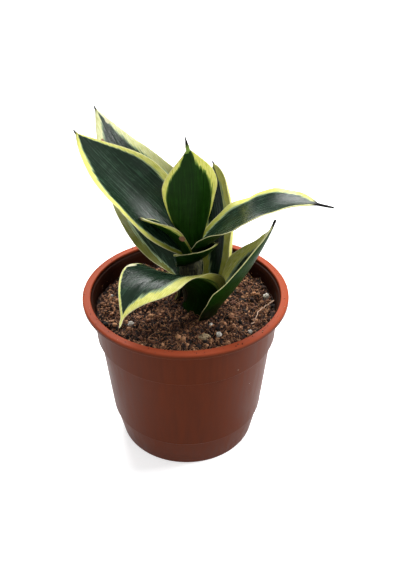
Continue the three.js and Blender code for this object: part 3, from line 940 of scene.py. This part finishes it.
@dataclass(frozen=True)
class Leaf:
    """One leaf, by the same formula and sizes as its CAD node.

    spine is the four control points of a cubic curve up the middle. face is three control vectors
    of the direction that the upper side looks in. base, widest, taper and cup shape it as in the
    CAD. left and right say how wide the yellow bands are, as pairs of share of the length and width,
    with left and right as seen from the upper side with the tip up. wave is how far the margins
    ripple, crease how deep the fold up the middle is, and dark how far below the awn the leaf is
    black. point and blunt are the half widths of the awn, the leaf's hard point, at its root and its
    end. marks are its scars, and old says that its margins have paled.
    """

    node: str
    spine: tuple
    face: tuple
    half_width: float
    base: float
    widest: float
    taper: float
    cup: tuple[float, float, float]
    awn: float
    left: tuple
    right: tuple
    wave: float = 0.3
    crease: float = 0.0
    dark: float = 0.8
    point: float = 0.75
    blunt: float = 0.22
    marks: tuple[Mark, ...] = ()
    seed: int = 1
    old: bool = False

    BURIED = 3.0                       # how far the blade carries on below the start of its spine
    THICKNESS = (2.5, 1.4)             # along the middle, at the base and at the tip
    EDGE = 0.62                        # thickness at the margins
    FINEST_CUP = 3                     # in degrees: a flatter blade is treated as this much curved
    BASE_FADE, TIP_FADE = 0.15, 0.12   # shares of the length over which ripples and fold die away
    WAVE_PITCH = 16                    # from one ripple of the margin to the next
    FOLD_WIDTH = 1.3                   # half the width of the fold up the middle
    SEED_SHIFT = 300.0                 # keeps one leaf's streaks clear of the next one's
    STATIONS = 150                     # rings up the blade, and then up the awn
    AWN_STATIONS = 14
    ACROSS = 44                        # facets across one face of the blade

    def half(self, t: np.ndarray) -> np.ndarray:
        """Half the blade's width at t, from 0 at the base to 1 at the tip."""
        t = np.clip(t, 0, 1)
        low = self.base + (1 - self.base) * np.sin(math.pi / 2 * np.minimum(t / self.widest, 1))
        high = np.cos(math.pi / 2 * np.clip((t - self.widest) / (1 - self.widest), 0, 1)) ** self.taper
        return self.half_width * np.where(t < self.widest, low, high)

    def frame(self, t: np.ndarray) -> tuple[np.ndarray, np.ndarray, np.ndarray, np.ndarray]:
        """The middle line at t: its points, and the directions along, normal and across."""
        p = np.array(self.spine, float)
        f = np.array(self.face, float)
        u, v = (1 - t)[:, None], t[:, None]
        centre = u**3 * p[0] + 3 * u**2 * v * p[1] + 3 * u * v**2 * p[2] + v**3 * p[3]
        along = unit(3 * u**2 * (p[1] - p[0]) + 6 * u * v * (p[2] - p[1]) + 3 * v**2 * (p[3] - p[2]))
        normal = u**2 * f[0] + 2 * u * v * f[1] + v**2 * f[2]
        normal = unit(normal - (normal * along).sum(1, keepdims=True) * along)
        return centre, along, normal, np.cross(along, normal)

    def shape(self) -> Shape:
        """Builds the leaf's closed skin, with the values that its material reads.

        Returns:
            The skin: rings round the blade from the buried base to the end of the awn.
        """
        blade = np.linspace(0, 1, self.STATIONS)
        t = np.concatenate([[0], blade, np.ones(self.AWN_STATIONS)])
        tip = np.linspace(0, self.awn, self.AWN_STATIONS + 1)[1:]
        beyond = np.concatenate([[-self.BURIED], 0 * blade, tip])
        centre, along, normal, across = self.frame(t)
        centre = centre + along * beyond[:, None]
        thin = np.clip(beyond / max(self.awn, 1e-6), 0, 1)
        slim = self.blunt + (self.point - self.blunt) * (1 - thin) ** 1.5
        half = np.maximum(self.half(t), slim)
        thick = np.minimum(np.interp(t, (0, 1), self.THICKNESS), 2 * half)
        cup = np.radians(np.maximum(np.interp(t, (0, 0.5, 1), self.cup), self.FINEST_CUP))

        # Each ring goes over the upper face from left to right, and back under the lower one. Facets
        # crowd towards the margins, which are rounded.
        turn = np.linspace(-math.pi / 2, math.pi / 2, self.ACROSS + 1)
        share = np.concatenate([np.sin(turn), np.sin(turn[1:-1])[::-1]])
        side = np.concatenate([np.ones(self.ACROSS + 1), -np.ones(self.ACROSS - 1)])
        s, h = share[None, :], half[:, None]
        round_edge = np.sqrt(np.clip(1 - np.abs(s) ** np.clip(3.2 * h, 2, 26), 0, 1))
        body = (self.EDGE + (thick[:, None] - self.EDGE) * (1 - s**2)) / 2
        body = np.where(thick[:, None] < self.EDGE + 0.5, thick[:, None] / 2, body)
        depth = side[None] * body * round_edge
        # The blade is bent round an arc, whose middle lies on the side that the upper face looks to.
        radius = 2 * h / cup[:, None]
        angle = s * cup[:, None] / 2
        reach = radius - depth
        flat = reach * np.sin(angle)
        lift = radius - reach * np.cos(angle)
        fade = (np.clip((1 - t) / self.TIP_FADE, 0, 1) * np.clip(t / self.BASE_FADE, 0, 1))[:, None]
        length = np.linalg.norm(np.diff(centre, axis=0), axis=1)
        run = np.concatenate([[0], np.cumsum(length)])
        rows = np.stack([np.broadcast_to(run[:, None], angle.shape), 30 * np.sign(s) + 0 * run[:, None],
                         np.full(angle.shape, 9.0 * self.seed)], -1)
        wave = ripple(rows.reshape(-1, 3), self.WAVE_PITCH, self.seed, 12).reshape(angle.shape)
        lift = lift + fade * self.wave * wave * np.abs(s) ** 3
        lift = lift - fade * self.crease * np.exp(-((s * h) / self.FOLD_WIDTH) ** 2)
        points = centre[:, None] + flat[..., None] * across[:, None] + lift[..., None] * normal[:, None]

        rings, around = angle.shape
        faces = ring_faces(rings, around)
        faces += [tuple(range(around))[::-1], tuple(range((rings - 1) * around, rings * around))]
        lay = np.stack([s * h, run[:, None] + self.SEED_SHIFT * self.seed + 0 * s, 0 * angle], -1)
        left, right = (np.interp(t, *zip(*widths))[:, None] for widths in (self.left, self.right))
        band = np.where(s < 0, left, right)
        rows = np.broadcast_to(t[:, None], angle.shape)
        edge = np.stack([h * (1 - np.abs(s)), band, rows], -1)
        black = 1 - smooth(self.dark - 1.5, self.dark + 1.5, (run[-1] - self.awn - run)[:, None] + 0 * s)
        wear = np.stack([black, self.marked(Scar.CORK, s * h, run, t, half),
                         self.marked(Scar.CRUST, s * h, run, t, half)], -1)
        under = np.tile(np.arange(around) >= self.ACROSS, rings - 1)
        return Shape(points.reshape(-1, 3), faces, {
            "lay": lay.reshape(-1, 3), "edge": edge.reshape(-1, 3), "wear": wear.reshape(-1, 3)},
            np.concatenate([under, [False, False]]))

    def marked(self, kind: Scar, across: np.ndarray, run: np.ndarray, t: np.ndarray,
               half: np.ndarray) -> np.ndarray:
        """How strongly marks of one kind show at each point.

        Args:
            kind: The kind of mark.
            across: Distance from the middle line at each point, rings by points.
            run: Distance along the leaf at each ring.
            t: Share of the length at each ring.
            half: Half width at each ring.

        Returns:
            A strength from 0 to 1, rings by points.
        """
        strength = np.zeros(across.shape)
        for mark in self.marks:
            if mark.kind is kind:
                here = np.interp(mark.along, t, run)
                middle = mark.across * np.interp(mark.along, t, half)
                off = np.hypot((run[:, None] - here) / mark.length, (across - middle) / mark.width) * 2
                strength = np.maximum(strength, 1 - smooth(0.7, 1.3, off))
        return strength

    def build(self, skins: list[bpy.types.Material]) -> bpy.types.Object:
        """Makes the leaf's piece, with the skin of the upper side and that of the under side."""
        return self.shape().piece(self.node + "_blade", skins, "leaf", (self.node,))


LEAVES = (
    Leaf("leaf_centre", ((5, -3, 130), (2, -7, 151), (6, -10, 173), (2, -14, 196)),
         ((-0.08, 0.99, 0.11), (-0.25, 0.96, 0.08), (-0.24, 0.97, 0.1)),
         16.1, 0.34, 0.58, 1.11, (154, 89, 28), 6.5,
         left=((0, 0.8), (0.3, 2), (0.6, 4.4), (0.85, 4.4), (0.97, 0)),
         right=((0, 0.6), (0.3, 1.4), (0.6, 2.6), (0.85, 2.4), (0.96, 0)), point=1.15, dark=-1, seed=1),
    Leaf("leaf_upper_right", ((6, 0, 126), (22, -5, 142), (38, -12, 170), (69, -22, 168)),
         ((-0.47, 0.17, 0.86), (-0.14, -0.02, 1), (0.16, -0.19, 0.97)),
         17.9, 0.32, 0.46, 0.85, (170, 34, 62), 7.5,
         left=((0, 2.5), (0.4, 3.6), (0.7, 3.2), (0.95, 2), (1, 0.6)),
         right=((0, 0.15), (0.6, 0.2), (0.9, 0.7), (1, 0.6)),
         wave=0.5, dark=3.5, point=1, blunt=0.55, seed=2),
    Leaf("young_leaf", ((0, -3, 127), (-4, -2, 137), (-13, -3, 145), (-24, -4, 150)),
         ((0.2, 0.52, 0.83), (0.22, 0.5, 0.84), (0.3, 0.3, 0.9)),
         7.2, 0.67, 0.52, 1.1, (140, 126, 55), 1,
         left=((0, 0.9), (0.5, 1.8), (1, 0.6)), right=((0, 0.6), (1, 0.4)),
         marks=(Mark(Scar.CORK, 0.3, -0.75, 3.4, 2.6),), wave=0.15, seed=3),
    Leaf("leaf_upper_left", ((1, 1, 127), (-17, 5, 152), (-41, 12, 167), (-59, 21, 189)),
         ((0.53, -0.83, 0.16), (0.71, -0.42, 0.56), (0.46, -0.53, 0.71)),
         22, 0.25, 0.47, 0.97, (73, 102, 15), 2,
         left=((0, 2.2), (0.4, 3.8), (0.8, 4.2), (1, 0.9)),
         right=((0, 3), (0.35, 4), (0.6, 2.6), (0.85, 1.6), (1, 0.8)), seed=4),
    Leaf("sheath_leaf", ((-2, -6, 122), (7, -4, 123), (13, -6, 128), (18, -6, 136)),
         ((-0.49, 0.36, 0.79), (-0.54, 0.13, 0.83), (-0.48, 0.26, 0.84)),
         10.8, 0.81, 0.55, 1.1, (176, 151, 80), 1,
         left=((0, 1), (1, 1)), right=((0, 0.25), (0.8, 0.3), (1, 1)), wave=0.15, seed=5),
    Leaf("leaf_back_right", ((14, 7, 86), (29, 15, 117), (23, 24, 154), (16, 35, 164)),
         ((-0.72, -0.66, 0.2), (-0.8, -0.57, 0.2), (-0.79, -0.53, 0.31)),
         16, 0.45, 0.55, 0.91, (141, 125, 61), 2,
         left=((0, 4), (0.8, 3.5), (1, 1)), right=((0, 14), (0.5, 18), (0.85, 9), (1, 2)), seed=6),
    Leaf("leaf_back_left", ((-1, 9, 88), (16, 25, 115), (-28, 40, 132), (-52, 55, 189)),
         ((0.36, -0.91, 0.18), (0.28, -0.91, 0.29), (0.6, -0.6, 0.53)),
         25.3, 0.46, 0.54, 0.85, (150, 34, 26), 2.5,
         left=((0, 4), (0.5, 4.5), (0.85, 5.4), (0.97, 4), (1, 1)),
         right=((0, 4.5), (0.6, 5.5), (0.85, 4.6), (1, 1)),
         marks=(Mark(Scar.CORK, 0.9, -0.6, 4, 2.5), Mark(Scar.CRUST, 0.955, 0.7, 5, 3)), seed=7, old=True),
    Leaf("leaf_front", ((5, -7, 88), (21, -10, 116), (-23, -22, 143), (-33, -50, 113)),
         ((0.36, 0.79, 0.49), (-0.01, 0.73, 0.56), (-0.05, -0.71, 0.79)),
         20.2, 0.6, 0.63, 1.4, (190, 16, 38), 2,
         left=((0, 2), (0.25, 5), (0.5, 7.6), (0.8, 6.6), (1, 1.4)), right=((0, 0.6), (0.7, 0.9), (1, 1.4)),
         marks=(Mark(Scar.CRUST, 0.72, 0.97, 9, 2.5),), crease=0.5, dark=-5,
         seed=8),
    Leaf("leaf_lower_right", ((15, -7, 85), (18, -16, 104), (36, -24, 126), (46, -29, 162)),
         ((-0.57, 0.32, 0.76), (-0.84, -0.01, 0.55), (-0.87, 0.35, 0.35)),
         18.9, 0.43, 0.52, 1.15, (79, 118, 60), 1,
         left=((0, 5), (0.5, 7), (0.8, 5), (1, 0.5)), right=((0, 0.3), (1, 0.3)),
         dark=3, point=1.1, blunt=0.8, seed=9),
)

LUMPS = (
    *(Lump("perlite_" + spot, "perlite", PERLITE, 71 + 2 * i)
      for i, spot in enumerate(("right", "left", "front_left", "front", "front_small", "front_right"))),
    Lump("bark_chip", "bark", BARK, 83, knobs=0.1, pits=0.06),
)


# ---------------------------------------------------------------------------------------------
# Studio
# ---------------------------------------------------------------------------------------------


@dataclass(frozen=True)
class Lamp:
    """A square soft lamp: where it hangs and the point it faces in mm, its side in mm, its power in watts."""

    name: str
    place: tuple[float, float, float]
    target: tuple[float, float, float]
    size: float
    power: float

    def hang(self) -> None:
        """Hangs the lamp in the scene."""
        light = bpy.data.lights.new(self.name, "AREA")
        light.shape, light.size, light.energy = "SQUARE", self.size * MM, self.power
        lamp = bpy.data.objects.new(self.name, light)
        lamp.location = Vector(self.place) * MM
        facing = Vector(self.target) - Vector(self.place)
        lamp.rotation_euler = facing.to_track_quat("-Z", "Y").to_euler()
        bpy.context.scene.collection.objects.link(lamp)


@dataclass
class Studio:
    """A plain white floor, a soft dome, lamps behind, on the right and in front, and the camera."""

    floor_size: float = 12000
    floor_paper: str = "#dcdcdc"
    floor_lift: float = 0.6
    camera_place: tuple[float, float, float] = (8.3, -365.0, 352.6)
    camera_tilt: float = 55.697
    lens: float = 48.12
    sensor: float = 36
    sky: tuple[str, str, str] = ("#55585c", "#83888e", "#ffffff")
    sky_strength: float = 0.75
    lamps: tuple[Lamp, ...] = (
        Lamp("lamp_behind", (-100, 700, 1000), (0, 0, 110), 650, 22),
        Lamp("lamp_right", (816, 47, 684), (-38, 12, 168), 260, 7.5),
        Lamp("lamp_front", (-150, -900, 1000), (0, 0, 80), 700, 1.2),
    )

    def build(self) -> None:
        """Sets up the floor, the lamps, the sky and the camera."""
        self.lay_floor()
        for lamp in self.lamps:
            lamp.hang()
        self.light_sky()
        eye = bpy.data.cameras.new("camera")
        eye.sensor_width, eye.sensor_fit, eye.lens = self.sensor, "AUTO", self.lens
        eye.clip_start, eye.clip_end = 0.01, 50
        camera = bpy.data.objects.new("camera", eye)
        camera.location = Vector(self.camera_place) * MM
        camera.rotation_euler = (math.radians(self.camera_tilt), 0, 0)
        scene = bpy.context.scene
        scene.collection.objects.link(camera)
        scene.camera = camera
        scene.view_settings.view_transform = "Standard"

    def light_sky(self) -> None:
        """A pale dome, bright overhead and dimmer near the floor, as under a wide soft box."""
        world = bpy.data.worlds.new("studio_sky")
        bpy.context.scene.world = world
        world.use_nodes = True
        tree = world.node_tree
        up = add(tree, "SeparateXYZ", {0: add(tree, "TexCoord").outputs["Generated"]}).outputs["Z"]
        glow = add(tree, "ValToRGB", {"Fac": up}, stops=list(zip((0.0, 0.35, 0.9), self.sky)))
        feed(tree, tree.nodes["Background"], {"Color": glow, "Strength": self.sky_strength})

    def lay_floor(self) -> None:
        """A wide white sheet, lit a little from below so that shadows on it stay faint."""
        half = self.floor_size / 2 * MM
        corners = [(-half, -half, 0), (half, -half, 0), (half, half, 0), (-half, half, 0)]
        mesh = bpy.data.meshes.new("floor")
        mesh.from_pydata(corners, [], [(0, 1, 2, 3)])
        material, tree, skin = blank("floor_white_paper")
        feed(tree, skin, {"Base Color": self.floor_paper, "Roughness": 0.9, "Emission Color": "#ffffff",
                          "Emission Strength": self.floor_lift})
        mesh.materials.append(material)
        floor = bpy.data.objects.new("floor", mesh)
        bpy.context.scene.collection.objects.link(floor)


def main() -> None:
    """Builds the plant in its pot, and the studio round it."""
    logging.basicConfig(level=logging.INFO, format="%(name)s %(message)s")
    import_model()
    pot = Pot()
    pot.build()
    Soil().build(pot)
    for lump in LUMPS:
        lump.build()
    LooseRoot().build()
    Stem().build()
    upper, old, under = UPPER_SKIN.make(), OLD_SKIN.make(), UNDER_SKIN.make()
    for leaf in LEAVES:
        leaf.build([old if leaf.old else upper, under])
    Studio().build()


if __name__ == "__main__":
    main()
